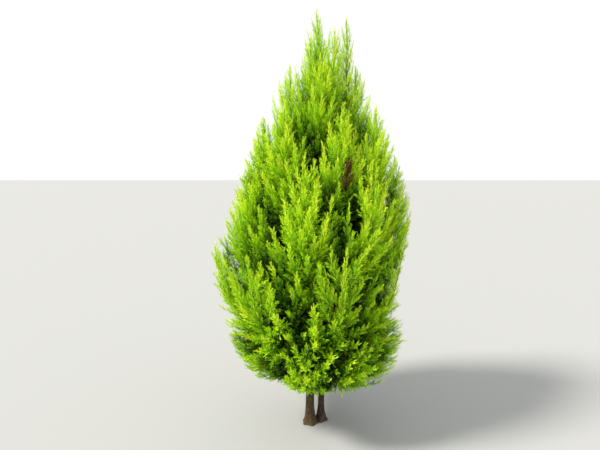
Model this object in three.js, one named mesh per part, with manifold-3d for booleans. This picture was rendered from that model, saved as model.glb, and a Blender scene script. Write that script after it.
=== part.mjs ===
// A young golden cypress: two stems from one root, their boughs, and the plumes of foliage round them.
// Millimetres, +Z up. The origin is the middle of the main stem's flat cut at ground level.
// +X is to the right of the tree's front, and the front faces -Y.
import * as THREE from "three";
import { mergeVertices } from "three/addons/utils/BufferGeometryUtils.js";
import Module from "manifold-3d";

const wasm = await Module();
wasm.setup();

// The crown's outline, out to the tips of the outermost sprays: at each height its radius, and how far
// right of the main stem's foot its middle stands
const crownOutline = [
  { height: 300, radius: 200, aside: 110 },
  { height: 340, radius: 370, aside: 95 },
  { height: 400, radius: 450, aside: 65 },
  { height: 510, radius: 510, aside: 45 },
  { height: 680, radius: 515, aside: 10 },
  { height: 850, radius: 515, aside: -25 },
  { height: 1060, radius: 550, aside: -15 },
  { height: 1200, radius: 550, aside: 30 },
  { height: 1360, radius: 505, aside: 55 },
  { height: 1630, radius: 410, aside: 62 },
  { height: 1900, radius: 302, aside: 66 },
  { height: 2110, radius: 175, aside: 58 },
  { height: 2280, radius: 130, aside: 75 },
  { height: 2370, radius: 110, aside: 90 },
];

// The two stems, with the root flare that they share at the ground
const mainStem = {
  name: "stem_main",
  foot: [0, 0],
  top: [44, 14],
  sway: [-12, 8],
  height: 1930,
  footRadius: 24,
  topRadius: 6,
  flare: 20,
  flareLobes: 5,
};
const secondStem = {
  name: "stem_second",
  foot: [66, 32],
  top: [180, 70],
  sway: [10, -6],
  height: 1720,
  footRadius: 17,
  topRadius: 5,
  flare: 19,
  flareLobes: 4,
};
const flareHeight = 42; // the height over which most of the flare dies away
const flareLobeDepth = 0.28; // of the flare, where it runs into a root
const stemSides = 10;
const stemSteps = 12;
const stemCrowding = 1.6; // draws a stem's steps together towards its foot
const secondSide = 0.25; // the least cosine between the second stem's side and the bearings that it carries
const secondShare = 0.9; // of its height, where its last limb leaves

// The tiers of limbs, from the skirt to the crest, with angles in degrees: turn is from +X, leave and
// arrive are from straight up. A limb leaves its stem at the height foot. Its last spray ends at the
// height tip, inset from the crown's outline. boughShare is the bare part of the limb, which is a bough
// of its own: without one the plume starts at the stem. Shoots stand within the angle fan to each side
// of straight outwards.
const tiers = [
  {
    name: "skirt",
    count: 7,
    turn: 0,
    foot: 340,
    tip: 650,
    inset: 30,
    leave: 76,
    arrive: 38,
    boughShare: 0.16,
    boughRadius: 9,
    girth: 125,
    shoots: 7,
    fan: 180,
  },
  {
    name: "lower",
    count: 7,
    turn: 26,
    foot: 520,
    tip: 1100,
    inset: 15,
    leave: 72,
    arrive: 10,
    boughShare: 0.16,
    boughRadius: 10,
    girth: 150,
    shoots: 9,
    fan: 165,
  },
  {
    name: "middle",
    count: 7,
    turn: 0,
    foot: 760,
    tip: 1550,
    inset: 20,
    leave: 68,
    arrive: 3,
    boughShare: 0.14,
    boughRadius: 9,
    girth: 150,
    shoots: 6,
    fan: 120,
  },
  {
    name: "upper",
    count: 7,
    turn: 26,
    foot: 1110,
    tip: 1840,
    inset: 15,
    leave: 50,
    arrive: 2,
    boughShare: 0,
    boughRadius: 8,
    girth: 140,
    shoots: 6,
    fan: 120,
  },
  {
    name: "shoulder",
    count: 5,
    turn: 54,
    foot: 1430,
    tip: 2095,
    inset: 10,
    leave: 42,
    arrive: 1,
    boughShare: 0,
    boughRadius: 7,
    girth: 95,
    shoots: 4,
    fan: 120,
  },
  {
    name: "crest",
    count: 2,
    turn: 120,
    foot: 1710,
    tip: 2235,
    inset: 10,
    leave: 30,
    arrive: 0,
    boughShare: 0,
    boughRadius: 6,
    girth: 75,
    shoots: 3,
    fan: 180,
  },
];

// The leaders carry the stems on to the top of the tree
const leaders = [
  { name: "leader_main", stem: mainStem, tip: [36, 0, 2366], girth: 65, shoots: 4, fan: 180 },
  { name: "leader_second", stem: secondStem, tip: [198, 45, 2340], girth: 50, shoots: 4, fan: 180 },
];

const turnScatter = 8; // degrees
const heightScatter = 50;
const footSpread = 150; // the limbs of a tier leave the stem within this height
const goldenShare = 0.618; // the step, wrapping round, that spreads any number of things evenly
const tierSeeds = 100; // between the seeds of neighbouring tiers
const chanceKeys = { turn: 0, height: 1, fan: 7, roll: 40 };
const spanToHandle = 0.42; // the length of a curve's handles, as a share of its span
const boughTaper = 0.68; // a bough's radius at its tip, as a share of that at its foot
const boughSides = 5;
const boughSteps = 2;

// A plume's core, and the shoots and sprays that stand out of it, measured in the plume's girth
const coreWidth = 0.5; // to each side
const coreDepth = 0.36; // out from the crown's axis, and in
const coreStart = 0.1; // along the plume's axis
const coreSwell = 0.85; // draws the widest place towards the foot
const coreTaper = 0.7; // how much of the stem within the core has gone by its tip
const coreSides = 5;
const coreSteps = 3;
const shootSpan = { first: 0, last: 0.9 }; // where shoots leave the plume's axis
const shootOut = 0.22; // how far a shoot stands out of the core
const shootRise = 1.2; // how far it climbs for each millimetre that it reaches out
const shootBend = { out: 0.7, up: 0.4 }; // the shares of its reach and its climb at its handle
const shootRadius = 4.5;
const shootTaper = 0.5; // its radius at its tip, as a share of that at its foot
const shootSides = 3;
const shootSteps = 1;
const sprayLength = 1.45;
const sprayWidth = 0.92; // of the spray's length
const sprayThickness = 0.09; // of the spray's length
const sprayRoll = 28; // degrees at most, about the spray's own rib
const sprayPlace = 0.94; // along its shoot
const tipSprayPlace = 0.97; // along the plume's curve
const ownMarks = 9; // the points of a plume's axis that its own space is measured from

// What is tried in turn where a shoot or a spray would leave its plume's space or touch another piece.
// length is a share of its own, and upright is how far it turns from its own way to the plume's.
const shootTries = [{ length: 1 }, { length: 0.75 }, { length: 0.5 }];
const sprayTries = [
  { length: 1, upright: 0 },
  { length: 0.85, upright: 0.4 },
  { length: 0.7, upright: 0.8 },
  { length: 0.55, upright: 1 },
];

const seatGap = 0.3; // between pieces that meet face to face
const clearance = 1.2; // between the sprays of neighbouring plumes

const colours = { bark: "#6b5640", bough: "#75583c", foliage: "#8cc21a" };

const up = new THREE.Vector3(0, 0, 1);
const radians = THREE.MathUtils.degToRad;
const { lerp, clamp } = THREE.MathUtils;

// A repeatable number from 0 to 1 for each pair of whole numbers
function chance(first, second) {
  let mixed = Math.imul(first + 1, 374761393) ^ Math.imul(second + 1, 668265263);
  mixed = Math.imul(mixed ^ (mixed >>> 13), 1274126177);
  return ((mixed ^ (mixed >>> 16)) >>> 0) / 4294967296;
}

// The crown's radius and middle at a height
function crownAt(height) {
  const inReach = clamp(height, crownOutline[0].height, crownOutline.at(-1).height);
  const next = Math.max(1, crownOutline.findIndex((point) => point.height >= inReach));
  const [low, high] = [crownOutline[next - 1], crownOutline[next]];
  const share = (inReach - low.height) / (high.height - low.height);
  const middle = new THREE.Vector3(lerp(low.aside, high.aside, share), 0, height);
  return { radius: lerp(low.radius, high.radius, share), middle };
}

function insideCrown(point) {
  const { radius, middle } = crownAt(point.z);
  const inHeight = point.z >= crownOutline[0].height && point.z <= crownOutline.at(-1).height;
  return inHeight && point.distanceTo(middle) <= radius;
}

// A stem's centre line. It leaves the ground straight up.
class StemLine extends THREE.Curve {
  constructor({ foot, top, sway, height }) {
    super();
    Object.assign(this, { foot, top, sway, height });
  }
  getPoint(share, target = new THREE.Vector3()) {
    const swing = Math.sin(Math.PI * share) ** 2;
    const place = (k) => lerp(this.foot[k], this.top[k], share ** 2) + this.sway[k] * swing;
    return target.set(place(0), place(1), this.height * share);
  }
}

// A limb along a stretch of a curve, closed by a flat cut at each end.
// radius is a function of the place along the stretch, from 0 to 1, and the angle round it.
function limbGeometry({ curve, from = 0, to = 1, across, radius, depth, sides, steps, crowding = 1 }) {
  const tube = new THREE.CylinderGeometry(1, 1, 1, sides, steps);
  tube.deleteAttribute("normal");
  tube.deleteAttribute("uv");
  const limb = mergeVertices(tube);
  const position = limb.getAttribute("position");
  for (let i = 0; i < position.count; i++) {
    const share = (position.getY(i) + 0.5) ** crowding;
    const along = curve.getTangent(lerp(from, to, share));
    const first = across.clone().addScaledVector(along, -across.dot(along)).normalize();
    const second = first.clone().cross(along);
    const angle = Math.atan2(position.getZ(i), position.getX(i));
    const point = curve
      .getPoint(lerp(from, to, share))
      .addScaledVector(first, position.getX(i) * radius(share, angle))
      .addScaledVector(second, position.getZ(i) * (depth ?? radius)(share, angle));
    position.setXYZ(i, point.x, point.y, point.z);
  }
  return limb;
}

// A spray of foliage: a toothed blade, thickest on its rib
function sprayGeometry(length, width) {
  const teeth = [
    [0.4, 0.5],
    [0.19, 0.5],
    [0.46, 0.82],
    [0.16, 0.7],
  ];
  const mirrored = teeth.map(([aside, along]) => [-aside, along]).reverse();
  const outline = [[0, 0], ...teeth, [0, 1], ...mirrored];
  const ribPlace = 0.42;
  const points = outline.flatMap(([aside, along]) => [aside * width, along * length, 0]);
  const halfThickness = (length * sprayThickness) / 2;
  points.push(0, ribPlace * length, halfThickness, 0, ribPlace * length, -halfThickness);
  const [front, back] = [outline.length, outline.length + 1];
  const faces = outline.flatMap((_, i) => {
    const next = (i + 1) % outline.length;
    return [front, i, next, back, next, i];
  });
  return new THREE.BufferGeometry()
    .setAttribute("position", new THREE.Float32BufferAttribute(points, 3))
    .setIndex(faces);
}

// The spray with its root at a point, pointing along a direction and facing a way
function placedSpray(root, direction, facing, length) {
  const along = direction.clone().normalize();
  const face = facing.clone().addScaledVector(along, -facing.dot(along)).normalize();
  const aside = along.clone().cross(face);
  const turn = new THREE.Matrix4().makeBasis(aside, along, face).setPosition(root);
  return sprayGeometry(length, length * sprayWidth).applyMatrix4(turn);
}

function solidOf(geometry) {
  const bare = new THREE.BufferGeometry()
    .setAttribute("position", geometry.getAttribute("position"))
    .setIndex(geometry.getIndex());
  const merged = mergeVertices(bare, 1e-3);
  return new wasm.Manifold(
    new wasm.Mesh({
      numProp: 3,
      vertProperties: merged.getAttribute("position").array,
      triVerts: new Uint32Array(merged.getIndex().array),
    }),
  );
}

function geometryOf(solid) {
  const { vertProperties, triVerts } = solid.getMesh();
  return new THREE.BufferGeometry()
    .setAttribute("position", new THREE.BufferAttribute(vertProperties, 3))
    .setIndex(new THREE.BufferAttribute(triVerts, 1));
}

function pointsOf(geometry) {
  const position = geometry.getAttribute("position");
  return Array.from({ length: position.count }, (_, i) =>
    new THREE.Vector3().fromBufferAttribute(position, i),
  );
}

// The largest body of a union, without the scraps that a boolean may leave
function mainBody(solid) {
  return solid.decompose().sort((a, b) => b.volume() - a.volume())[0];
}

const solids = new Map(); // every solid so far by its name, with its box

function put(name, solid) {
  solids.set(name, { name, solid, box: solid.boundingBox() });
}

function boxesNear(a, b, gap) {
  return [0, 1, 2].every((k) => a.min[k] - gap < b.max[k] && b.min[k] - gap < a.max[k]);
}

function clearOfOthers(name, solid) {
  const box = solid.boundingBox();
  return [...solids.values()].every(
    (other) =>
      other.name === name ||
      !boxesNear(box, other.box, clearance) ||
      other.solid.minGap(solid, 2 * clearance) >= clearance,
  );
}

function stemRadius(stem, height, angle = 0) {
  const taper = lerp(stem.footRadius, stem.topRadius, height / stem.height);
  const lobes = 1 + flareLobeDepth * Math.cos(stem.flareLobes * angle);
  return taper + stem.flare * lobes * Math.exp(-height / flareHeight);
}

function stemSolid(stem, extra = 0) {
  return solidOf(
    limbGeometry({
      curve: new StemLine(stem),
      across: new THREE.Vector3(1, 0, 0),
      radius: (share, angle) => stemRadius(stem, share * stem.height, angle) + extra,
      sides: stemSides,
      steps: stemSteps,
      crowding: stemCrowding,
    }),
  );
}

// The stem that a limb grows from: the second one carries the side that it stands on
function stemFor(bearing, height) {
  const toSecond = Math.atan2(secondStem.foot[1], secondStem.foot[0]);
  const onItsSide = Math.cos(bearing - toSecond) > secondSide;
  return onItsSide && height < secondStem.height * secondShare ? secondStem : mainStem;
}

// A curve in an upright plane, with its angles to straight up at both ends. It stops short of the
// limb's tip by its last spray.
function limbCurve({ foot, end, leave, arrive, lastSpray }) {
  const out = end.clone().sub(foot).setZ(0).normalize();
  const slant = (angle) =>
    out.clone().multiplyScalar(Math.sin(angle)).addScaledVector(up, Math.cos(angle));
  const tip = end.clone().addScaledVector(slant(arrive), -lastSpray);
  const span = foot.distanceTo(tip) * spanToHandle;
  return {
    across: out.clone().cross(up),
    curve: new THREE.CubicBezierCurve3(
      foot,
      foot.clone().addScaledVector(slant(leave), span),
      tip.clone().addScaledVector(slant(arrive), -span),
      tip,
    ),
  };
}

function tierLimbs() {
  return tiers.flatMap((tier, level) =>
    Array.from({ length: tier.count }, (_, i) => {
      const seed = tierSeeds * (level + 1) + i;
      const scatter = (k) => 2 * chance(seed, k) - 1;
      const bearing = radians(tier.turn + (360 * i) / tier.count + turnScatter * scatter(chanceKeys.turn));
      const tipHeight = tier.tip + heightScatter * scatter(chanceKeys.height);
      const footHeight = tier.foot + footSpread * (((goldenShare * i) % 1) - 0.5);
      const { radius, middle } = crownAt(tipHeight);
      const reach = radius - tier.inset;
      const aside = new THREE.Vector3(Math.cos(bearing) * reach, Math.sin(bearing) * reach, 0);
      const stem = stemFor(bearing, footHeight);
      const foot = new StemLine(stem).getPoint(footHeight / stem.height);
      return {
        ...tier,
        ...limbCurve({
          foot,
          end: middle.add(aside),
          leave: radians(tier.leave),
          arrive: radians(tier.arrive),
          lastSpray: tier.girth * sprayLength,
        }),
        name: `${tier.name}_${i + 1}`,
        seed,
        stem,
      };
    }),
  );
}

// A leader goes straight on from the tip of its stem
function leaderLimbs() {
  return leaders.map((leader, i) => {
    const line = new StemLine(leader.stem);
    const start = line.getPoint(1).addScaledVector(line.getTangent(1), seatGap);
    const tip = new THREE.Vector3(...leader.tip).addScaledVector(up, -leader.girth * sprayLength);
    const handle = start.distanceTo(tip) * spanToHandle;
    const bend = start.clone().addScaledVector(line.getTangent(1), handle);
    return {
      ...leader,
      across: new THREE.Vector3(0, 1, 0),
      curve: new THREE.CubicBezierCurve3(start, bend, tip.clone().lerp(bend, 0.5), tip),
      boughShare: 0,
      boughRadius: leader.stem.topRadius,
      seed: tierSeeds * (tiers.length + 1) + i,
      onTop: true,
    };
  });
}

function makeBoughs(limbs, stemCutters) {
  for (const limb of limbs.filter(({ boughShare }) => boughShare > 0)) {
    const bough = solidOf(
      limbGeometry({
        curve: limb.curve,
        to: limb.boughShare,
        across: limb.across,
        radius: (share) => limb.boughRadius * lerp(1, boughTaper, share),
        sides: boughSides,
        steps: boughSteps,
      }),
    ).subtract(stemCutters.get(limb.stem));
    put(`bough_${limb.name}`, mainBody(bough));
  }
}

// Where a plume's axis runs, apart from its limb's bare bough
function plumeAxis(limb) {
  const start = limb.boughShare;
  const step = 1e-3;
  const speed = limb.curve.getPoint(start).distanceTo(limb.curve.getPoint(start + step)) / step;
  const from = limb.boughShare > 0 ? start + seatGap / speed : start;
  return { at: (share) => lerp(from, 1, share), from };
}

// The nearest plume to a point is the one whose space holds it. Distances are measured in girths.
function plumeAt(point, plumes) {
  let [best, least] = [null, Infinity];
  for (const plume of plumes) {
    const away = Math.min(...plume.marks.map((mark) => mark.distanceTo(point))) / plume.girth;
    if (away < least) [best, least] = [plume, away];
  }
  return best;
}

// How far the core reaches from the plume's axis at a place along it, to the sides or out and in
function coreReach(plume, share, extent) {
  const footRadius = plume.boughRadius * (plume.boughShare > 0 ? boughTaper : 1);
  const along = clamp((share - coreStart) / (1 - coreStart), 0, 1);
  const swelling = Math.sin(Math.PI * along ** coreSwell);
  return footRadius * (1 - coreTaper * share) + plume.girth * extent * swelling;
}

// The stem of a plume, which swells into its core and runs out at its tip
function plumeBody(plume) {
  return solidOf(
    limbGeometry({
      curve: plume.curve,
      from: plume.axis.from,
      across: plume.across,
      radius: (share) => coreReach(plume, share, coreWidth),
      depth: (share) => coreReach(plume, share, coreDepth),
      sides: coreSides,
      steps: coreSteps,
    }),
  );
}

// A shoot of a plume, which leaves its axis and bends up along it
function shootOf(plume, i, { length }) {
  const share = lerp(shootSpan.first, shootSpan.last, (i + 0.5) / plume.shoots);
  const place = plume.axis.at(share);
  const along = plume.curve.getTangent(place);
  const outward = along.clone().cross(plume.across).normalize();
  const turn = radians(plume.fan * (2 * ((goldenShare * i + chance(plume.seed, chanceKeys.fan)) % 1) - 1));
  const side = outward.applyAxisAngle(along, turn);
  const extent = Math.hypot(coreWidth * Math.sin(turn), coreDepth * Math.cos(turn));
  const reach = (coreReach(plume, share, extent) + plume.girth * shootOut) * length;
  const start = plume.curve.getPoint(place);
  const end = start.clone().addScaledVector(side, reach).addScaledVector(along, reach * shootRise);
  const bend = start
    .clone()
    .addScaledVector(side, reach * shootBend.out)
    .addScaledVector(along, reach * shootRise * shootBend.up);
  const curve = new THREE.QuadraticBezierCurve3(start, bend, end);
  const geometry = limbGeometry({
    curve,
    across: side.clone().cross(along),
    radius: (share) => shootRadius * lerp(1, shootTaper, share),
    sides: shootSides,
    steps: shootSteps,
  });
  return { curve, side, along, geometry };
}

// The spray that a shoot carries
function sprayOf(shoot, plume, i) {
  const ahead = shoot.curve.getTangent(1);
  const roll = radians(sprayRoll * (2 * chance(plume.seed, chanceKeys.roll + i) - 1));
  return {
    root: shoot.curve.getPoint(sprayPlace),
    ahead,
    length: plume.girth * sprayLength,
    facing: shoot.side.clone().applyAxisAngle(ahead, roll),
    upward: shoot.along,
  };
}

// The spray that ends a plume
function lastSprayOf(plume) {
  const ahead = plume.curve.getTangent(1);
  return {
    root: plume.curve.getPoint(tipSprayPlace),
    ahead,
    length: plume.girth * sprayLength,
    facing: ahead.clone().cross(plume.across),
    upward: ahead,
  };
}

function growPlume(plume, plumes) {
  const name = `foliage_${plume.name}`;
  const fits = (geometry) =>
    pointsOf(geometry).every((point) => insideCrown(point) && plumeAt(point, plumes) === plume) &&
    clearOfOthers(name, solidOf(geometry));
  const firstFit = (tries, shape) => tries.map(shape).find(({ geometry }) => fits(geometry));
  const growSpray = ({ root, ahead, length, facing, upward }) =>
    firstFit(sprayTries, (attempt) => {
      const direction = ahead.clone().lerp(upward, attempt.upright);
      return { geometry: placedSpray(root, direction, facing, length * attempt.length) };
    });
  const grown = [growSpray(lastSprayOf(plume))];
  for (let i = 0; i < plume.shoots; i++) {
    const shoot = firstFit(shootTries, (attempt) => shootOf(plume, i, attempt));
    if (!shoot) continue;
    const spray = growSpray(sprayOf(shoot, plume, i));
    if (spray) grown.push(shoot, spray);
  }
  const pieces = grown.filter(Boolean).map(({ geometry }) => solidOf(geometry));
  put(name, mainBody(wasm.Manifold.union([solids.get(name).solid, ...pieces])));
}

function build() {
  const stemCutters = new Map([mainStem, secondStem].map((stem) => [stem, stemSolid(stem, seatGap)]));
  put(mainStem.name, stemSolid(mainStem));
  put(secondStem.name, mainBody(stemSolid(secondStem).subtract(stemCutters.get(mainStem))));

  const limbs = tierLimbs();
  makeBoughs(limbs, stemCutters);

  const plumes = [...limbs, ...leaderLimbs()];
  for (const plume of plumes) {
    plume.axis = plumeAxis(plume);
    plume.marks = Array.from({ length: ownMarks }, (_, i) =>
      plume.curve.getPoint(plume.axis.at(i / (ownMarks - 1))),
    );
    const fromStem = !plume.boughShare && !plume.onTop;
    const body = fromStem ? plumeBody(plume).subtract(stemCutters.get(plume.stem)) : plumeBody(plume);
    put(`foliage_${plume.name}`, mainBody(body));
  }
  for (const plume of plumes) growPlume(plume, plumes);

  const tree = new THREE.Group();
  for (const { name, solid } of solids.values()) {
    const kind = name.startsWith("stem") ? "bark" : name.startsWith("bough") ? "bough" : "foliage";
    const material = new THREE.MeshStandardMaterial({ color: colours[kind], roughness: 0.8 });
    const mesh = new THREE.Mesh(geometryOf(solid), material);
    mesh.name = name;
    tree.add(mesh);
  }
  return tree;
}

export default build();
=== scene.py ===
from math import atan2, cos, pi, radians, sin

import bpy
import numpy as np
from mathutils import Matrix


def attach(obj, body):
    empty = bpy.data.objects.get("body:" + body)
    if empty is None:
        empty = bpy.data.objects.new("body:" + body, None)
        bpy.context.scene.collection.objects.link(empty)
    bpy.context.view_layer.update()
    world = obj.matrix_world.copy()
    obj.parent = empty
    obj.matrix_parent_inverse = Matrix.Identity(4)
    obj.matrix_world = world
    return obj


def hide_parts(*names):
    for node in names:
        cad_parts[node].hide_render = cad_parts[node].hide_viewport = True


# A young golden cypress. Everything is in metres, +Z up, and the front faces -Y.
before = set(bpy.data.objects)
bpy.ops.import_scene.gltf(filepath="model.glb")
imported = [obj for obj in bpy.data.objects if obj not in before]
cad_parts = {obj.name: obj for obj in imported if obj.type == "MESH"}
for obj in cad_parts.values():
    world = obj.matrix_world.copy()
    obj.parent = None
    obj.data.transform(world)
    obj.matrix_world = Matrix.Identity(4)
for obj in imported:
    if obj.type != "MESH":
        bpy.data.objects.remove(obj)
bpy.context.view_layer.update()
scene = bpy.context.scene
up = np.array([0.0, 0.0, 1.0])
tiny = 1e-6  # keeps a division or a direction from having nothing in it

photoView = {
    "eye": (-0.0605, -2.9, 1.6),  # a standing person's eye
    "down": 7.8,  # degrees below level
    "lens": 30.66,  # mm, on a sensor 36 mm wide
    "sensor": 36,
}


def makeCamera():
    data = bpy.data.cameras.new("photoCamera")
    data.lens = photoView["lens"]
    data.sensor_width = photoView["sensor"]
    camera = bpy.data.objects.new("photoCamera", data)
    camera.location = photoView["eye"]
    camera.rotation_euler = (radians(90 - photoView["down"]), 0, 0)
    scene.collection.objects.link(camera)
    scene.camera = camera


makeCamera()
print("camera is in place")


# small sums that the rest shares

nearlyAlong = 0.8  # a direction with more of X in it than this counts as lying along X
chanceMix = {
    "first": 374761393, "second": 668265263, "last": 1274126177,  # they spread the bits of small numbers
    "whole": 0xFFFFFFFF, "shifts": (13, 16),
}


def lerp(low, high, share):
    return low + (high - low) * share


def unit(vectors):
    return vectors / np.linalg.norm(vectors, axis=-1, keepdims=True)


def turned(vectors, axis, angle):
    # turns vectors that stand square to the axis
    return vectors * np.cos(angle) + np.cross(axis, vectors) * np.sin(angle)


def squareTo(along):
    # two directions square to each one given, and to each other
    reference = np.where(np.abs(along[..., :1]) < nearlyAlong, [1.0, 0.0, 0.0], [0.0, 1.0, 0.0])
    first = unit(reference - along * np.sum(reference * along, axis=-1, keepdims=True))
    return first, np.cross(along, first)


def bezier(handles, share):
    # points of a curve with three or four handles
    layer = [np.asarray(handle, float) for handle in handles]
    share = np.asarray(share, float)[..., None]
    while len(layer) > 1:
        layer = [lerp(near, far, share) for near, far in zip(layer, layer[1:])]
    return layer[0]


def headings(points):
    # the direction of a line of points at each of them
    return unit(np.gradient(points, axis=-2))


def onLine(points, share):
    # places along a line of points, and its direction there
    place = np.asarray(share, float) * (len(points) - 1)
    low = np.clip(place.astype(int), 0, len(points) - 2)
    aheads = headings(points)
    part = (place - low)[..., None]
    return lerp(points[low], points[low + 1], part), unit(lerp(aheads[low], aheads[low + 1], part))


def chance(first, second):
    # a repeatable number from 0 to 1 for each pair of whole numbers, the same one as in the solids
    whole, (shift, lastShift) = chanceMix["whole"], chanceMix["shifts"]
    mixed = ((first + 1) * chanceMix["first"] & whole) ^ ((second + 1) * chanceMix["second"] & whole)
    mixed = ((mixed ^ mixed >> shift) * chanceMix["last"]) & whole
    return (mixed ^ mixed >> lastShift) / (whole + 1)


# the stems, boughs and plumes where the solids have them

crown = {
    # height, radius, and how far right of the foot the crown's middle stands
    "outline": [(0.300, 0.200, 0.110), (0.340, 0.370, 0.095), (0.400, 0.450, 0.065),
                (0.510, 0.510, 0.045), (0.680, 0.515, 0.010), (0.850, 0.515, -0.025),
                (1.060, 0.550, -0.015), (1.200, 0.550, 0.030), (1.360, 0.505, 0.055),
                (1.630, 0.410, 0.062), (1.900, 0.302, 0.066), (2.110, 0.175, 0.058),
                (2.280, 0.130, 0.075), (2.370, 0.110, 0.090)],
    # height, and how far out tips may reach there, in radii
    "loose": [(0.700, 1), (0.850, 1.025), (1.000, 1), (2.080, 1), (2.250, 1.22)],
    "top": 2.400,
}

mainStem = {
    "node": "stem_main", "foot": (0, 0), "top": (0.044, 0.014), "sway": (-0.012, 0.008),
    "height": 1.930, "footRadius": 0.024, "topRadius": 0.006, "flare": 0.020, "lobes": 5,
    "finish": "bark", "seed": 11,
}
secondStem = {
    "node": "stem_second", "foot": (0.066, 0.032), "top": (0.180, 0.070), "sway": (0.010, -0.006),
    "height": 1.720, "footRadius": 0.017, "topRadius": 0.005, "flare": 0.019, "lobes": 4,
    "finish": "darkBark", "seed": 12,
}
rootFlare = {"height": 0.042, "lobeDepth": 0.28}

# Turn is in degrees from +X, leave and arrive from straight up, and fan to either side of straight out.
# Inset is how far a tip stays inside the outline. A shoot reaches width out, in girths, and climbs along the
# plume for that. Spacing lies between shoots, and point sharpens the plume's ends. Where two plumes meet,
# parted is the share of sprigs left out and cleft is the painted shade. Sweep leans shoots away from the
# middle.
tiers = [
    {"name": "skirt", "count": 7, "turn": 0, "foot": 0.340, "tip": 0.650, "inset": 0.030,
     "leave": 76, "arrive": 38, "boughShare": 0.16, "radius": 0.009, "girth": 0.125, "fan": 180,
     "point": 0.5, "climb": 1.1, "width": 1.7, "spacing": 0.0078,
     "parted": 0.2, "cleft": 0.54, "sweep": 0.30},
    {"name": "lower", "count": 7, "turn": 26, "foot": 0.520, "tip": 1.100, "inset": 0.015,
     "leave": 72, "arrive": 10, "boughShare": 0.16, "radius": 0.010, "girth": 0.150, "fan": 165,
     "point": 0.4, "climb": 1.35, "width": 1.75, "spacing": 0.0106,
     "parted": 0.2, "cleft": 0.46, "sweep": 0.40},
    {"name": "middle", "count": 7, "turn": 0, "foot": 0.760, "tip": 1.550, "inset": 0.020,
     "leave": 68, "arrive": 3, "boughShare": 0.14, "radius": 0.009, "girth": 0.150, "fan": 120,
     "point": 0.8, "climb": 1.6, "width": 1.65, "spacing": 0.0165,
     "parted": 0.3, "cleft": 0.36, "sweep": 0.20},
    {"name": "upper", "count": 7, "turn": 26, "foot": 1.110, "tip": 1.840, "inset": 0.015,
     "leave": 50, "arrive": 2, "boughShare": 0, "radius": 0.008, "girth": 0.140, "fan": 120,
     "point": 1, "climb": 1.75, "width": 1.35, "spacing": 0.0155,
     "parted": 0.2, "cleft": 0.34, "sweep": 0.10},
    {"name": "shoulder", "count": 5, "turn": 54, "foot": 1.430, "tip": 2.095, "inset": 0.010,
     "leave": 42, "arrive": 1, "boughShare": 0, "radius": 0.007, "girth": 0.095, "fan": 120,
     "point": 0.7, "climb": 1.75, "width": 1.35, "spacing": 0.0140,
     "parted": 0, "cleft": 0.30, "sweep": 0.05},
    {"name": "crest", "count": 2, "turn": 120, "foot": 1.710, "tip": 2.235, "inset": 0.010,
     "leave": 30, "arrive": 0, "boughShare": 0, "radius": 0.006, "girth": 0.075, "fan": 180,
     "point": 0.8, "climb": 1.75, "width": 1.8, "spacing": 0.0110,
     "parted": 0, "cleft": 0.10, "sweep": 0},
]
leaders = [
    {"name": "leader_main", "stem": mainStem, "tip": (0.036, 0, 2.366), "girth": 0.065, "fan": 180,
     "point": 1.2, "climb": 1.75, "width": 1.7, "spacing": 0.0100,
     "parted": 0, "cleft": 0.10, "sweep": 0},
    {"name": "leader_second", "stem": secondStem, "tip": (0.198, 0.045, 2.340), "girth": 0.050, "fan": 180,
     "point": 0.9, "climb": 1.75, "width": 1.9, "spacing": 0.0095,
     "parted": 0, "cleft": 0.10, "sweep": 0},
]
limbRule = {
    "turnScatter": 8, "heightScatter": 0.050,  # degrees and metres either way
    "footSpread": 0.150,  # the height over which the feet of a tier's limbs lie
    "goldenShare": 0.618,  # of a turn or a spread, from one limb or shoot to the next
    "handle": 0.42,  # the length of a curve's handles, for its span
    "boughTaper": 0.68,  # what is left of a bough's radius where its plume begins
    "lastSpray": 1.45,  # how far a plume's tip lies past its axis, in girths
    "secondSide": 0.25,  # the second stem bears the limbs whose cosine from its own side is above this
    "secondShare": 0.9,  # and whose foot is below this share of its height
    "nearTop": 0.999,  # the share of a stem that shows which way its leader goes on
    "leaderBend": 0.5, "leaderAcross": (0.0, 1.0, 0.0),
    "tierSeeds": 100,  # from one tier's first seed to the next one's
    "marks": 9,  # points that stand for a plume's axis
}


def crownAt(height):
    # the crown's radius and its middle
    heights, radii, asides = zip(*crown["outline"])
    aside = np.interp(height, heights, asides)
    return np.interp(height, heights, radii), np.stack([aside, 0 * aside, height + 0 * aside], axis=-1)


def fromMiddle(points):
    # the crown's radius at the height of each point, and the point's distance from the crown's middle
    radius, middle = crownAt(points[..., 2])
    return radius, np.linalg.norm(points - middle, axis=-1)


def belowOutline(points):
    # how far in from the crown's outline
    radius, distance = fromMiddle(points)
    return radius - distance


def inCrown(points, slack):
    # whether points lie within slack times the crown's radius, or a little more where tips are loose
    radius, distance = fromMiddle(points)
    loose = np.interp(points[..., 2], *zip(*crown["loose"]))
    inHeight = (points[..., 2] >= crown["outline"][0][0]) & (points[..., 2] <= crown["top"])
    return inHeight & (distance / radius <= slack * loose)


def stemPoint(stem, share):
    share = np.asarray(share, float)
    swing = np.sin(pi * share) ** 2
    place = [lerp(stem["foot"][k], stem["top"][k], share**2) + stem["sway"][k] * swing for k in (0, 1)]
    return np.stack([*place, stem["height"] * share], axis=-1)


def stemRadius(stem, height, angle):
    taper = lerp(stem["footRadius"], stem["topRadius"], height / stem["height"])
    lobes = 1 + rootFlare["lobeDepth"] * np.cos(stem["lobes"] * angle)
    return taper + stem["flare"] * lobes * np.exp(-height / rootFlare["height"])


def stemFor(bearing, height):
    # the stem that bears a limb: the second one on its own side, except near its top
    toSecond = atan2(secondStem["foot"][1], secondStem["foot"][0])
    onItsSide = cos(bearing - toSecond) > limbRule["secondSide"]
    lowEnough = height < secondStem["height"] * limbRule["secondShare"]
    return secondStem if onItsSide and lowEnough else mainStem


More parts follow.
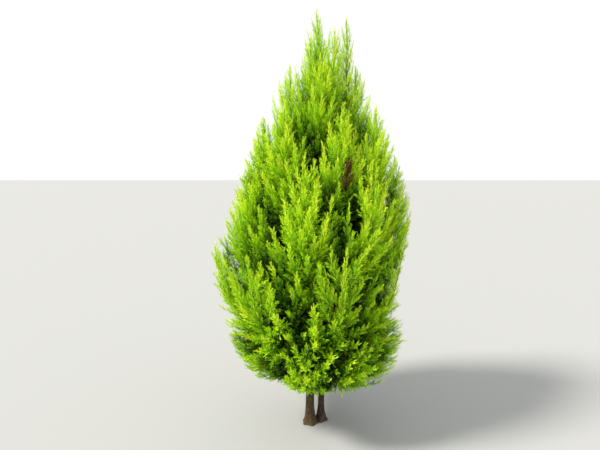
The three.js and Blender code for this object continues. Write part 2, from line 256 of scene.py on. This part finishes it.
def limbHandles(foot, end, tier):
    # an upright curve that stops short of the limb's end by its last spray
    out = unit((end - foot) * [1, 1, 0])
    leave, arrive = radians(tier["leave"]), radians(tier["arrive"])
    start = out * sin(leave) + up * cos(leave)
    finish = out * sin(arrive) + up * cos(arrive)
    tip = end - finish * (tier["girth"] * limbRule["lastSpray"])
    span = np.linalg.norm(tip - foot) * limbRule["handle"]
    return [foot, foot + start * span, tip - finish * span, tip], np.cross(out, up)


def tierPlumes():
    plumes = []
    for level, tier in enumerate(tiers):
        for i in range(tier["count"]):
            seed = limbRule["tierSeeds"] * (level + 1) + i
            turnChance, heightChance = (2 * chance(seed, k) - 1 for k in (0, 1))
            bearing = radians(tier["turn"] + 360 * i / tier["count"] + limbRule["turnScatter"] * turnChance)
            tipHeight = tier["tip"] + limbRule["heightScatter"] * heightChance
            footHeight = tier["foot"] + limbRule["footSpread"] * (limbRule["goldenShare"] * i % 1 - 0.5)
            radius, middle = crownAt(tipHeight)
            stem = stemFor(bearing, footHeight)
            foot = stemPoint(stem, footHeight / stem["height"])
            end = middle + (radius - tier["inset"]) * np.array([cos(bearing), sin(bearing), 0])
            handles, across = limbHandles(foot, end, tier)
            plumes.append({
                **tier, "tier": tier["name"], "name": f"{tier['name']}_{i + 1}",
                "seed": seed, "handles": handles, "across": across,
            })
    return plumes


def leaderPlumes():
    plumes = []
    for i, leader in enumerate(leaders):
        start = stemPoint(leader["stem"], 1)
        onward = unit(start - stemPoint(leader["stem"], limbRule["nearTop"]))
        tip = np.array(leader["tip"]) - up * leader["girth"] * limbRule["lastSpray"]
        bend = start + onward * np.linalg.norm(tip - start) * limbRule["handle"]
        plumes.append({
            **leader, "tier": "leader", "seed": limbRule["tierSeeds"] * (len(tiers) + 1) + i,
            "boughShare": 0, "radius": leader["stem"]["topRadius"],
            "handles": [start, bend, lerp(tip, bend, limbRule["leaderBend"]), tip],
            "across": np.array(limbRule["leaderAcross"]),
        })
    return plumes


plumes = tierPlumes() + leaderPlumes()
markShares = np.linspace(0, 1, limbRule["marks"])
for plume in plumes:
    plume["marks"] = bezier(plume["handles"], lerp(plume["boughShare"], 1, markShares))
allMarks = np.array([plume["marks"] for plume in plumes])
allGirths = np.array([plume["girth"] for plume in plumes])
print("laid out", len(plumes), "plumes")


def awayFromPlumes(points):
    # each point's distance from every plume's axis, in that plume's girths
    return np.linalg.norm(points[:, None, None, :] - allMarks, axis=-1).min(axis=-1) / allGirths


def inOwnSpace(points, which, slack):
    # whether a plume's own axis is the nearest to each point, or near enough to it for the slack
    away = awayFromPlumes(points)
    return away[:, which] <= slack * away.min(axis=-1)


def cleftBeside(points, which, width):
    # 1 where two plumes meet, and 0 from width on inside the plume's own space
    away = awayFromPlumes(points)
    own = away[:, which].copy()
    away[:, which] = np.inf
    return np.clip(1 - (away.min(axis=-1) / np.maximum(own, tiny) - 1) / width, 0, 1)


# meshes from arrays

def newPiece(name, corners, polygons, materials, tints=None, smooth=False):
    # polygons is a list of arrays, each with its own number of corners to a row
    loops = np.concatenate([rows.ravel() for rows in polygons])
    sizes = np.concatenate([np.full(len(rows), rows.shape[1]) for rows in polygons])
    mesh = bpy.data.meshes.new(name)
    mesh.vertices.add(len(corners))
    mesh.vertices.foreach_set("co", np.asarray(corners, np.float32).ravel())
    mesh.loops.add(len(loops))
    mesh.loops.foreach_set("vertex_index", loops.astype(np.int32))
    mesh.polygons.add(len(sizes))
    mesh.polygons.foreach_set("loop_start", (np.cumsum(sizes) - sizes).astype(np.int32))
    for material in materials:
        mesh.materials.append(material)
    if tints is not None:
        mesh.polygons.foreach_set("material_index", tints.astype(np.int32))
    mesh.polygons.foreach_set("use_smooth", np.full(len(sizes), smooth))
    mesh.update(calc_edges=True)
    mesh.validate()
    piece = bpy.data.objects.new(name, mesh)
    scene.collection.objects.link(piece)
    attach(piece, "root")
    return piece


def tube(points, radii, sides):
    # a limb along a line of points; radii has a number for each point, or for each point and side
    first, second = squareTo(headings(points))
    angles = 2 * pi * np.arange(sides) / sides
    radii = np.broadcast_to(np.reshape(radii, (len(points), -1)), (len(points), sides))[..., None]
    spokes = first[:, None] * np.cos(angles)[:, None] + second[:, None] * np.sin(angles)[:, None]
    corners = (points[:, None] + radii * spokes).reshape(-1, 3)
    here = np.arange((len(points) - 1) * sides).reshape(-1, sides)
    beside = np.roll(here, -1, axis=1)
    walls = np.stack([here, beside, beside + sides, here + sides], axis=-1).reshape(-1, 4)
    ends = np.array([np.arange(sides)[::-1], np.arange(sides) + (len(points) - 1) * sides])
    return corners, walls, ends


def joined(tubes):
    # many tubes as one mesh
    polygons, count = [], 0
    for corners, walls, ends in tubes:
        polygons += [walls + count, ends + count]
        count += len(corners)
    return np.concatenate([corners for corners, _, _ in tubes]), polygons


# finishes

# the live tints run from painted shade deep in the crown to painted light at its outside and tips, partly the
# foliage's own darker old and yellower young growth; the dead tints are the real colour of dead sprigs
leafFinish = {
    "tints": [
        ("leafShade", (0.009, 0.028, 0.0015)),
        ("leafDeep", (0.062, 0.168, 0.004)),
        ("leafGreen", (0.212, 0.450, 0.006)),
        ("leafLime", (0.390, 0.670, 0.009)),
        ("leafBright", (0.530, 0.795, 0.012)),
        ("leafTip", (0.700, 0.880, 0.032)),
        ("leafDead", (0.150, 0.060, 0.020)),
        ("leafDeadTip", (0.270, 0.125, 0.045)),
    ],
    "roughness": 0.6, "specular": 0.2,
}
deadTint = 6  # the first tint of the dead leaves, after those of the live ones
twigFinish = {
    "tints": [("twigBrown", (0.115, 0.058, 0.028)), ("twigGreen", (0.130, 0.170, 0.020))],
    "roughness": 0.75, "specular": 0.3,
}


def plainMaterial(name, colour, roughness, specular):
    material = bpy.data.materials.new(name)
    material.use_nodes = True
    shader = material.node_tree.nodes["Principled BSDF"]
    shader.inputs["Base Color"].default_value = (*colour, 1)
    shader.inputs["Roughness"].default_value = roughness
    shader.inputs["Specular IOR Level"].default_value = specular
    return material


def tintMaterials(finish):
    return [
        plainMaterial(name, colour, finish["roughness"], finish["specular"])
        for name, colour in finish["tints"]
    ]


leafMaterials = tintMaterials(leafFinish)
twigMaterials = tintMaterials(twigFinish)

barkColours = {
    "bark": {
        "furrow": (0.026, 0.016, 0.007), "strip": (0.108, 0.074, 0.028), "weathered": (0.160, 0.120, 0.056),
    },
    "darkBark": {
        "furrow": (0.022, 0.011, 0.009), "strip": (0.085, 0.047, 0.034), "weathered": (0.125, 0.080, 0.060),
    },
    "youngBark": {
        "furrow": (0.040, 0.018, 0.010), "strip": (0.130, 0.062, 0.034), "weathered": (0.170, 0.100, 0.062),
    },
}
barkGrain = {
    "stretch": {"Scale": (1, 1, 0.09)},  # the strips run up the wood
    "strips": {"Scale": 260, "Detail": 6, "Roughness": 0.65},
    "patches": {"Scale": 22, "Detail": 4},
    "furrowTo": 0.36, "stripFrom": 0.62,  # the noise up to which all is furrow, and from which all is strip
    "weathering": {"From Min": 0.5, "From Max": 0.75, "To Max": 0.6},  # how far the patches are weathered
    "roughness": {"To Min": 0.95, "To Max": 0.7},  # in the furrows and on the strips
    "relief": {"Strength": 0.6, "Distance": 0.0012},
    "specular": 0.3,
}


def newNode(nodes, kind, values):
    # a shader node with some of its sockets set
    node = nodes.new(kind)
    for socket, value in values.items():
        node.inputs[socket].default_value = value
    return node


def barkMaterial(name):
    # strips that run up the wood, lighter on their crests, with weathered patches
    colours, grain = barkColours[name], barkGrain
    material = bpy.data.materials.new(name)
    material.use_nodes = True
    nodes, links = material.node_tree.nodes, material.node_tree.links
    shader = nodes["Principled BSDF"]
    shader.inputs["Specular IOR Level"].default_value = grain["specular"]
    place = nodes.new("ShaderNodeTexCoord")
    stretch = newNode(nodes, "ShaderNodeMapping", grain["stretch"])
    links.new(place.outputs["Object"], stretch.inputs["Vector"])
    strips = newNode(nodes, "ShaderNodeTexNoise", grain["strips"])
    links.new(stretch.outputs["Vector"], strips.inputs["Vector"])
    patches = newNode(nodes, "ShaderNodeTexNoise", grain["patches"])
    links.new(place.outputs["Object"], patches.inputs["Vector"])
    ramp = nodes.new("ShaderNodeValToRGB")
    furrow, strip = ramp.color_ramp.elements
    furrow.position, furrow.color = grain["furrowTo"], (*colours["furrow"], 1)
    strip.position, strip.color = grain["stripFrom"], (*colours["strip"], 1)
    links.new(strips.outputs["Fac"], ramp.inputs["Fac"])
    share = newNode(nodes, "ShaderNodeMapRange", grain["weathering"])
    links.new(patches.outputs["Fac"], share.inputs["Value"])
    weather = nodes.new("ShaderNodeMix")
    weather.data_type = "RGBA"
    weather.inputs["B"].default_value = (*colours["weathered"], 1)
    links.new(share.outputs["Result"], weather.inputs["Factor"])
    links.new(ramp.outputs["Color"], weather.inputs["A"])
    links.new(weather.outputs["Result"], shader.inputs["Base Color"])
    rough = newNode(nodes, "ShaderNodeMapRange", grain["roughness"])
    links.new(strips.outputs["Fac"], rough.inputs["Value"])
    links.new(rough.outputs["Result"], shader.inputs["Roughness"])
    relief = newNode(nodes, "ShaderNodeBump", grain["relief"])
    links.new(strips.outputs["Fac"], relief.inputs["Height"])
    links.new(relief.outputs["Normal"], shader.inputs["Normal"])
    return material


barkMaterials = {name: barkMaterial(name) for name in barkColours}

# the two stems, with their bark in relief

stemBark = {
    "columns": 72, "rows": 200,
    "crowding": 2,  # the rows lie closer towards the foot
    "ridges": [(26, 0.075, 0.0016), (52, 0.030, 0.0009)],  # number round the stem, length and height of one
    "ridgeGain": 2, "ridgeSink": 0.6,  # how steeply ridges rise, and how deep furrows lie, in their heights
    "twist": 0.35,  # turns that the strips make up the stem
}


def eased(share):
    return share * share * (3 - 2 * share)


def stripNoise(draw, columns, rows, turn, rise):
    # smooth chance values, columns of them round the stem and rows up it; turn and rise are from 0 to 1
    grid = draw.random((rows + 2, columns))
    x, y = turn % 1 * columns, rise * rows
    left, low = np.floor(x).astype(int), np.floor(y).astype(int)
    x, y = eased(x - left), eased(y - low)
    left, right = left % columns, (left + 1) % columns
    below = lerp(grid[low, left], grid[low, right], x)
    above = lerp(grid[low + 1, left], grid[low + 1, right], x)
    return lerp(below, above, y)


def makeStem(stem):
    draw = np.random.default_rng(stem["seed"])
    columns, rows = stemBark["columns"], stemBark["rows"]
    rise = np.linspace(0, 1, rows) ** stemBark["crowding"]
    rises, turns = np.meshgrid(rise, np.arange(columns) / columns, indexing="ij")
    heights, angles = rises * stem["height"], turns * 2 * pi
    radius = stemRadius(stem, heights, angles)
    for around, long, high in stemBark["ridges"]:
        noise = stripNoise(draw, around, int(stem["height"] / long), turns + stemBark["twist"] * rises, rises)
        ridge = np.abs(2 * noise - 1) * stemBark["ridgeGain"] - stemBark["ridgeSink"]
        radius += high * ridge * radius / stem["footRadius"]
    line = stemPoint(stem, rise)
    along = headings(line)
    first = unit(np.array([1.0, 0, 0]) - along * along[:, :1])
    second = np.cross(first, along)
    side = first[:, None] * np.cos(angles)[..., None] + second[:, None] * np.sin(angles)[..., None]
    corners = line[:, None] + side * radius[..., None]
    corners[0, :, 2] = 0  # the foot is flat on the ground
    here = np.arange((rows - 1) * columns).reshape(-1, columns)
    beside = np.roll(here, -1, axis=1)
    walls = np.stack([here, here + columns, beside + columns, beside], axis=-1)
    rim = np.arange(columns)
    ends = np.array([rim, rim[::-1] + (rows - 1) * columns])
    piece = newPiece(
        stem["node"].replace("stem", "bark"), corners.reshape(-1, 3), [walls.reshape(-1, 4), ends],
        [barkMaterials[stem["finish"]]], smooth=True,
    )
    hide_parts(stem["node"])


makeStem(mainStem)
makeStem(secondStem)
print("made the stems")

# the bare boughs, from inside the stem to where the plume begins

bough = {
    "sides": 12, "steps": 30,
    "collar": 0.55, "collarLength": 0.030,  # how much thicker it is at the stem, and how far that goes
    "grain": 0.07,  # how uneven its radius is
    "overlap": 0.02,  # the share of the limb that goes on into the plume
}


def makeBoughs():
    tubes, nodes = [], []
    for plume in plumes:
        if not plume["boughShare"]:
            continue
        draw = np.random.default_rng(plume["seed"])
        share = np.linspace(0, plume["boughShare"] + bough["overlap"], bough["steps"])
        points = bezier(plume["handles"], share)
        travelled = np.linalg.norm(points - points[0], axis=1)
        taper = lerp(1, limbRule["boughTaper"], share / plume["boughShare"])
        collar = 1 + bough["collar"] * np.exp(-travelled / bough["collarLength"])
        radii = (plume["radius"] * taper * collar)[:, None]
        radii = radii * (1 + bough["grain"] * draw.uniform(-1, 1, (bough["steps"], bough["sides"])))
        tubes.append(tube(points, radii, bough["sides"]))
        nodes.append(f"bough_{plume['name']}")
    piece = newPiece("boughs", *joined(tubes), [barkMaterials["youngBark"]], smooth=True)
    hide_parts(*nodes)


makeBoughs()
print("made the boughs")

# a sprig: a rib with slim leaves on both sides, each a folded blade of two faces

sprig = {
    "seed": 5, "shapes": 8, "leaves": 12,
    "first": 0.10, "last": 0.92,  # where leaves stand along the rib, whose length is 1
    "spread": (42, 22), "spreadScatter": 7,  # degrees from the rib, at its foot and its tip
    "offPlane": 0.75, "twist": 0.9,  # radians of scatter round the rib and round the leaf
    "leafLength": 0.42, "lastLength": 0.55,  # at the rib's foot, and what is left of that at its tip
    "lengths": (0.85, 1.15),  # the scatter of the length
    "leafWidth": 0.072, "ribWidth": 0.040, "fold": 0.35, "widest": 0.42,
    "paleFrom": 0.6,  # leaves past this are a tint lighter
}


def blade(root, heading, aside, length, width):
    # four corners: its foot, one side, its tip and the other side, folded on its middle
    lift = np.cross(aside, heading) * sprig["fold"] * width
    middle = root + heading * length * sprig["widest"]
    tip = root + heading * length
    return [root, middle + aside * width / 2 + lift, tip, middle - aside * width / 2 + lift]


def sprigShape(draw):
    rib, flat = np.array([0.0, 1.0, 0.0]), np.array([1.0, 0.0, 0.0])
    blades = [blade(np.zeros(3), rib, flat, 1.0, sprig["ribWidth"])]
    pale = [False]
    for i, place in enumerate(np.linspace(sprig["first"], sprig["last"], sprig["leaves"])):
        scatter = draw.uniform(-sprig["spreadScatter"], sprig["spreadScatter"])
        slant = radians(lerp(*sprig["spread"], place) + scatter)
        around = pi * (i % 2) + draw.uniform(-1, 1) * sprig["offPlane"]
        heading = np.array([sin(slant) * cos(around), cos(slant), sin(slant) * sin(around)])
        aside, _ = squareTo(heading)
        aside = turned(aside, heading, draw.uniform(-sprig["twist"], sprig["twist"]) + pi / 2 * (i % 2))
        length = sprig["leafLength"] * lerp(1, sprig["lastLength"], place) * draw.uniform(*sprig["lengths"])
        blades.append(blade(rib * place, heading, aside, length, sprig["leafWidth"]))
        pale.append(place > sprig["paleFrom"])
    return np.array(blades), np.array(pale)


shapeDraw = np.random.default_rng(sprig["seed"])
sprigShapes = [sprigShape(shapeDraw) for _ in range(sprig["shapes"])]


def makeSprays(name, sprigs, nodes):
    # every sprig of some plumes, as one mesh
    corners, tints = [], []
    which = np.arange(len(sprigs["root"])) % sprig["shapes"]
    for i, (blades, pale) in enumerate(sprigShapes):
        mine = {key: rows[which == i] for key, rows in sprigs.items()}
        basis = np.stack([np.cross(mine["along"], mine["face"]), mine["along"], mine["face"]], axis=1)
        placed = np.einsum("bcx,nxy->nbcy", blades, basis) * mine["length"][:, None, None, None]
        corners.append((placed + mine["root"][:, None, None, :]).reshape(-1, 3))
        alive = mine["tint"][:, None] < deadTint
        tint = mine["tint"][:, None] + pale[None, :]
        tint = np.where(alive, np.minimum(tint, deadTint - 1), tint)
        tints.append(np.repeat(tint.ravel(), 2))
    corners = np.concatenate(corners)
    firsts = np.arange(0, len(corners), 4)[:, None]
    faces = np.stack([firsts + [0, 1, 2], firsts + [0, 2, 3]], axis=1).reshape(-1, 3)
    piece = newPiece(name, corners, [faces], leafMaterials, np.concatenate(tints))
    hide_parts(*nodes)
    return len(faces)


# the plumes: shoots along each spine, and sprigs along each shoot

spineRule = {
    "curvePoints": 40, "tipPoints": 10, "evenPoints": 60,
    "tipPart": (0.1, 0.98),  # the part of the last spray that the spine takes in
}
shootRule = {
    "first": 0.03, "last": 0.995,  # the shares of the spine that the tips of the shoots stand beside
    "profile": [(0, 0.4), (0.12, 0.85), (0.3, 1), (0.5, 0.95),
                (0.7, 0.74), (0.85, 0.48), (0.95, 0.26), (1, 0.06)],  # the plume's width along the spine
    "climbMore": 0.03,  # metres that every shoot climbs besides
    "bendOut": 0.72, "bendUp": 0.32,  # where a shoot bends up, out from the spine and along it
    "lift": 0.25,  # how far its tip is lifted, for its width
    "sizes": (0.45, 1.05),
    "tries": [1, 0.8, 0.62, 0.45],  # sizes to try until a shoot fits
    "points": 7, "radius": (0.0022, 0.0006), "sides": 3,
    "fanKey": 7,  # picks the chance number that turns the first shoot
    "slack": 1.35,  # how far past its own space a shoot may reach
}
sprigRule = {
    "spacing": 0.0069, "fewest": 4,  # along a shoot, and on the shortest one
    "bare": 0.25, "spineBare": 0.12,  # the shares of a shoot and of the spine with no sprigs
    "stemPart": (0.88, 1),  # the part of a stem that bears sprigs below its leader
    "length": (0.108, 0.036),  # at the shoot's foot and its tip
    "lengths": (0.8, 1.15),  # the scatter of the length
    "full": 0.28, "fullGirth": 0.14,  # the length of shoot, and the girth of plume, with sprigs of full size
    "turnStep": 2.4,  # radians round the shoot from one sprig to the next
    "slant": (42, 16), "slantScatter": 8,  # degrees from the shoot, at its foot and its tip
    "rise": 0.22, "roll": 0.6,  # how far it turns up, and radians of scatter round itself
    "slack": 1.4,  # how far past the plume's own space a sprig may reach
    "outside": (0.94, 1.03),  # how far out a sprig may reach, in radii, by chance between these
    "cutShort": 0.45,  # what is left of the length of a sprig that would reach further
    "dense": [(0.18, 1), (0.35, 0.34), (0.46, 0)],  # the share of sprigs kept this far inside the outline
    "inner": [(0.12, 1), (0.36, 1.8)],  # how much larger sprigs are this far inside the outline
}
# painted light and shade, dealt out to the sprigs as tints
paintedLightRule = {
    "out": 0.40, "tip": 0.38, "height": 0.26,  # painted light that the outline, the shoot's tip and the crown's top add, the tips' partly their own yellower young growth
    "bias": -0.05,
    "shadeDepth": 0.28,  # how far in from the crown's outline the painted light goes, with painted shade deeper in
    "cleftWidth": 0.8, "cleftDepth": 0.10,  # the painted shade where two plumes meet
    "shootScatter": 0.16, "sprigScatter": 0.05,
}
wood = {
    "sides": 6, "steps": 26,
    "tip": 0.0012, "taper": 0.5,  # the spine's radius at its tip, and how late it narrows
    "greenFrom": 0.25,  # the share of a twig that stays brown
}

# a patch of dead sprigs, and a small opening in the live ones before it
deadPatch = {"centre": (0.190, -0.27, 1.530), "half": (0.034, 0.080, 0.090), "lean": 0.24, "share": 0.92}
opening = {"centre": (0.180, -0.40, 1.535), "half": (0.031, 0.140, 0.090), "lean": 0.24}


def inside(points, space):
    # whether points are in an ellipsoid that leans to the right
    offset = points - space["centre"]
    offset[..., 0] -= space["lean"] * offset[..., 2]
    return np.sum((offset / space["half"]) ** 2, axis=-1) < 1


def spineOf(plume):
    # the plume's axis and the straight way on to its furthest tip, as evenly spaced points
    curve = bezier(plume["handles"], np.linspace(plume["boughShare"], 1, spineRule["curvePoints"]))
    ahead = unit(curve[-1] - curve[-2])
    last = plume["girth"] * limbRule["lastSpray"]
    onward = np.linspace(*spineRule["tipPart"], spineRule["tipPoints"])[:, None]
    line = np.concatenate([curve, curve[-1] + ahead * last * onward])
    travelled = np.concatenate([[0], np.cumsum(np.linalg.norm(np.diff(line, axis=0), axis=1))])
    even = np.linspace(0, travelled[-1], spineRule["evenPoints"])
    return np.stack([np.interp(even, travelled, line[:, k]) for k in range(3)], axis=1), travelled[-1]


def shootLine(plume, spine, spineLength, reach, turn, size):
    # a shoot whose tip stands beside the spine at the share reach
    width = plume["girth"] * plume["width"] * size
    width *= np.interp(reach, *zip(*shootRule["profile"])) ** plume["point"]
    climb = width * plume["climb"] + shootRule["climbMore"]
    foot = max(0, reach - climb / spineLength)
    (start, handle, beside), aheads = onLine(spine, [foot, lerp(foot, reach, shootRule["bendUp"]), reach])
    outward = unit(np.cross(aheads[2], plume["across"]))
    side = turned(outward, aheads[2], turn)
    away = unit((beside - crownAt(beside[2])[1]) + tiny)
    bend = handle + side * width * shootRule["bendOut"]
    tip = beside + (side + up * shootRule["lift"] + away * plume["sweep"]) * width
    return bezier([start, bend, tip], np.linspace(0, 1, shootRule["points"]))


def shootFits(line, which):
    # whether a shoot stays in the crown, near its plume's own space and out of the opening
    tip = line[-1]
    inPlace = inCrown(tip, 1) and inOwnSpace(tip[None], which, shootRule["slack"])[0]
    return inPlace and not inside(line, opening).any()


def growShoots(plume, which, spine, spineLength, draw):
    lines = []
    count = int(spineLength / plume["spacing"])
    firstTurn = chance(plume["seed"], shootRule["fanKey"])
    for k in range(count):
        reach = lerp(shootRule["first"], shootRule["last"], (k + 0.5) / count)
        size = draw.uniform(*shootRule["sizes"])
        turn = radians(plume["fan"]) * (2 * ((limbRule["goldenShare"] * k + firstTurn) % 1) - 1)
        for attempt in shootRule["tries"]:
            line = shootLine(plume, spine, spineLength, reach, turn, size * attempt)
            if shootFits(line, which):
                lines.append(line)
                break
    return lines


def growSprigs(lines, largest, draw):
    # lines are pairs of a line of points and the share of it that stays bare
    rows = []
    for line, bare in lines:
        reach = np.linalg.norm(np.diff(line, axis=0), axis=1).sum()
        count = max(sprigRule["fewest"], int(reach * (1 - bare) / sprigRule["spacing"]))
        share = np.linspace(bare, 1, count)
        root, along = onLine(line, share)
        first, second = squareTo(along)
        angle = (np.arange(count) * sprigRule["turnStep"] + draw.uniform(0, 2 * pi))[:, None]
        side = first * np.cos(angle) + second * np.sin(angle)
        scatter = draw.uniform(-sprigRule["slantScatter"], sprigRule["slantScatter"], count)
        slant = np.radians(lerp(*sprigRule["slant"], share) + scatter)[:, None]
        heading = unit(along * np.cos(slant) + side * np.sin(slant) + up * sprigRule["rise"])
        face = unit(np.cross(heading, side) + tiny)
        face = turned(face, heading, draw.uniform(-1, 1, count)[:, None] * sprigRule["roll"])
        size = largest * lerp(*sprigRule["length"], share) * min(1, (reach / sprigRule["full"]) ** 0.5)
        bright = np.full(count, draw.uniform(-1, 1))
        length = size * draw.uniform(*sprigRule["lengths"], count)
        rows.append((root, heading, unit(face), length, share, bright))
    return [np.concatenate(column) for column in zip(*rows)]


def paintedLightOn(plume, end, tip, bright, cleft, draw):
    # how lit a sprig is painted, mostly from 0 to 1: painted light near the outline and the top, painted
    # shade deep inside and in clefts, partly the foliage's own lighter young and darker old growth
    within = belowOutline(end)
    light = paintedLightRule["out"] * np.clip(1 - within / paintedLightRule["shadeDepth"], 0, 1) + paintedLightRule["tip"] * tip
    # painted light towards the crown's top and painted shade towards its foot
    light += paintedLightRule["height"] * end[:, 2] / crown["outline"][-1][0] + paintedLightRule["bias"]
    # painted shade where two plumes meet
    light -= plume["cleft"] * cleft * np.clip(within / paintedLightRule["cleftDepth"], 0, 1)
    light += paintedLightRule["shootScatter"] * bright + paintedLightRule["sprigScatter"] * draw.uniform(-1, 1, len(end))
    return light


def fittedSprigs(plume, which, lines, draw):
    # the sprigs of a plume that stay in its space, with their tints of painted light and shade
    largest = min(1, (plume["girth"] / sprigRule["fullGirth"]) ** 0.5)
    root, along, face, length, tip, bright = growSprigs(lines, largest, draw)
    count = len(root)
    length = length * np.interp(belowOutline(root), *zip(*sprigRule["inner"]))
    limit = lerp(*sprigRule["outside"], draw.random(count) ** 0.5)
    fits = inCrown(root + along * length[:, None], limit)
    length = length * np.where(fits, 1, sprigRule["cutShort"])
    end = root + along * length[:, None]
    cleft = cleftBeside(end, which, paintedLightRule["cleftWidth"])
    density = np.interp(belowOutline(end), *zip(*sprigRule["dense"])) * (1 - plume["parted"] * cleft)
    kept = draw.random(count) < density
    kept &= inCrown(end, sprigRule["outside"][1]) & inOwnSpace(end, which, sprigRule["slack"])
    kept &= ~inside(end, opening) & ~inside(root, opening)
    light = paintedLightOn(plume, end, tip, bright, cleft, draw)
    # the live tint follows the painted light and shade
    tint = np.clip(light * deadTint, 0, deadTint - 1).astype(int)
    tint[inside(end, deadPatch) & (draw.random(count) < deadPatch["share"])] = deadTint
    sprigs = {"root": root, "along": along, "face": face, "length": length, "tint": tint}
    return {key: rows[kept] for key, rows in sprigs.items()}


def growPlume(plume, which):
    draw = np.random.default_rng(plume["seed"])
    spine, spineLength = spineOf(plume)
    shoots = growShoots(plume, which, spine, spineLength, draw)
    lines = [(shoot, sprigRule["bare"]) for shoot in shoots] + [(spine, sprigRule["spineBare"])]
    if "stem" in plume:
        share = np.linspace(*sprigRule["stemPart"], shootRule["points"])
        lines.append((stemPoint(plume["stem"], share), 0))
    footRadius = plume["radius"] * (limbRule["boughTaper"] if plume["boughShare"] else 1)
    share = np.linspace(0, 1, wood["steps"])
    radii = lerp(footRadius, wood["tip"], share ** wood["taper"])
    shootRadii = np.linspace(*shootRule["radius"], shootRule["points"])
    twigs = [tube(onLine(spine, share)[0], radii, wood["sides"])]
    twigs += [tube(shoot, shootRadii, shootRule["sides"]) for shoot in shoots]
    return fittedSprigs(plume, which, lines, draw), twigs


def greenParts(twig):
    # which faces of a twig are green: those of its outer part
    _, walls, _ = twig
    share = np.linspace(0, 1, len(walls), endpoint=False)
    return np.concatenate([share > wood["greenFrom"], [False, True]])


def makeFoliage(name, part):
    # the sprays of some plumes as one piece, and their twigs as another
    grown = [growPlume(plume, which) for plume, which in part]
    sprigs = {key: np.concatenate([own[key] for own, _ in grown]) for key in grown[0][0]}
    count = makeSprays(f"sprays_{name}", sprigs, [f"foliage_{plume['name']}" for plume, _ in part])
    twigs = [twig for _, own in grown for twig in own]
    green = np.concatenate([greenParts(twig) for twig in twigs])
    piece = newPiece(f"twigs_{name}", *joined(twigs), twigMaterials, green, smooth=True)
    print("grew", name, "with", count, "leaf faces")
    return count


def makePlumes():
    # a tier with more than two plumes makes two pieces of each kind
    total = 0
    for name in [tier["name"] for tier in tiers] + ["leader"]:
        mine = [(plume, which) for which, plume in enumerate(plumes) if plume["tier"] == name]
        middle = (len(mine) + 1) // 2 if len(mine) > 2 else len(mine)
        for side, part in (("a", mine[:middle]), ("b", mine[middle:])):
            if part:
                total += makeFoliage(f"{name}_{side}", part)
    print("leaf faces in all", total)


makePlumes()

# a plain pale floor and soft light

studio = {
    "floorSize": 60, "floorDrop": 0.0005,
    "floorColour": (0.37, 0.37, 0.362), "floorRoughness": 0.9, "floorSpecular": 0.2,
    "sky": (0.97, 0.985, 1.0), "skyStrength": 1.05,
    "sunStrength": 5.0, "sunColour": (1.0, 0.97, 0.90),
    "sunTilt": 44, "sunTurn": -70, "sunSpread": 14,  # degrees
}


def makeStudio():
    half = studio["floorSize"] / 2
    mesh = bpy.data.meshes.new("floor")
    ring = [(-half, -half), (half, -half), (half, half), (-half, half)]
    mesh.from_pydata([(x, y, -studio["floorDrop"]) for x, y in ring], [], [(0, 1, 2, 3)])
    mesh.materials.append(
        plainMaterial("floorPale", studio["floorColour"], studio["floorRoughness"], studio["floorSpecular"])
    )
    floor = bpy.data.objects.new("floor", mesh)
    scene.collection.objects.link(floor)
    world = bpy.data.worlds.new("studioSky")
    world.use_nodes = True
    world.node_tree.nodes["Background"].inputs["Color"].default_value = (*studio["sky"], 1)
    world.node_tree.nodes["Background"].inputs["Strength"].default_value = studio["skyStrength"]
    scene.world = world
    sun = bpy.data.lights.new("softSun", "SUN")
    sun.energy = studio["sunStrength"]
    sun.color = studio["sunColour"]
    sun.angle = radians(studio["sunSpread"])
    lamp = bpy.data.objects.new("softSun", sun)
    lamp.rotation_euler = (radians(studio["sunTilt"]), 0, radians(studio["sunTurn"]))
    scene.collection.objects.link(lamp)
    scene.view_settings.view_transform = "Standard"


makeStudio()
print("set the floor and the light")
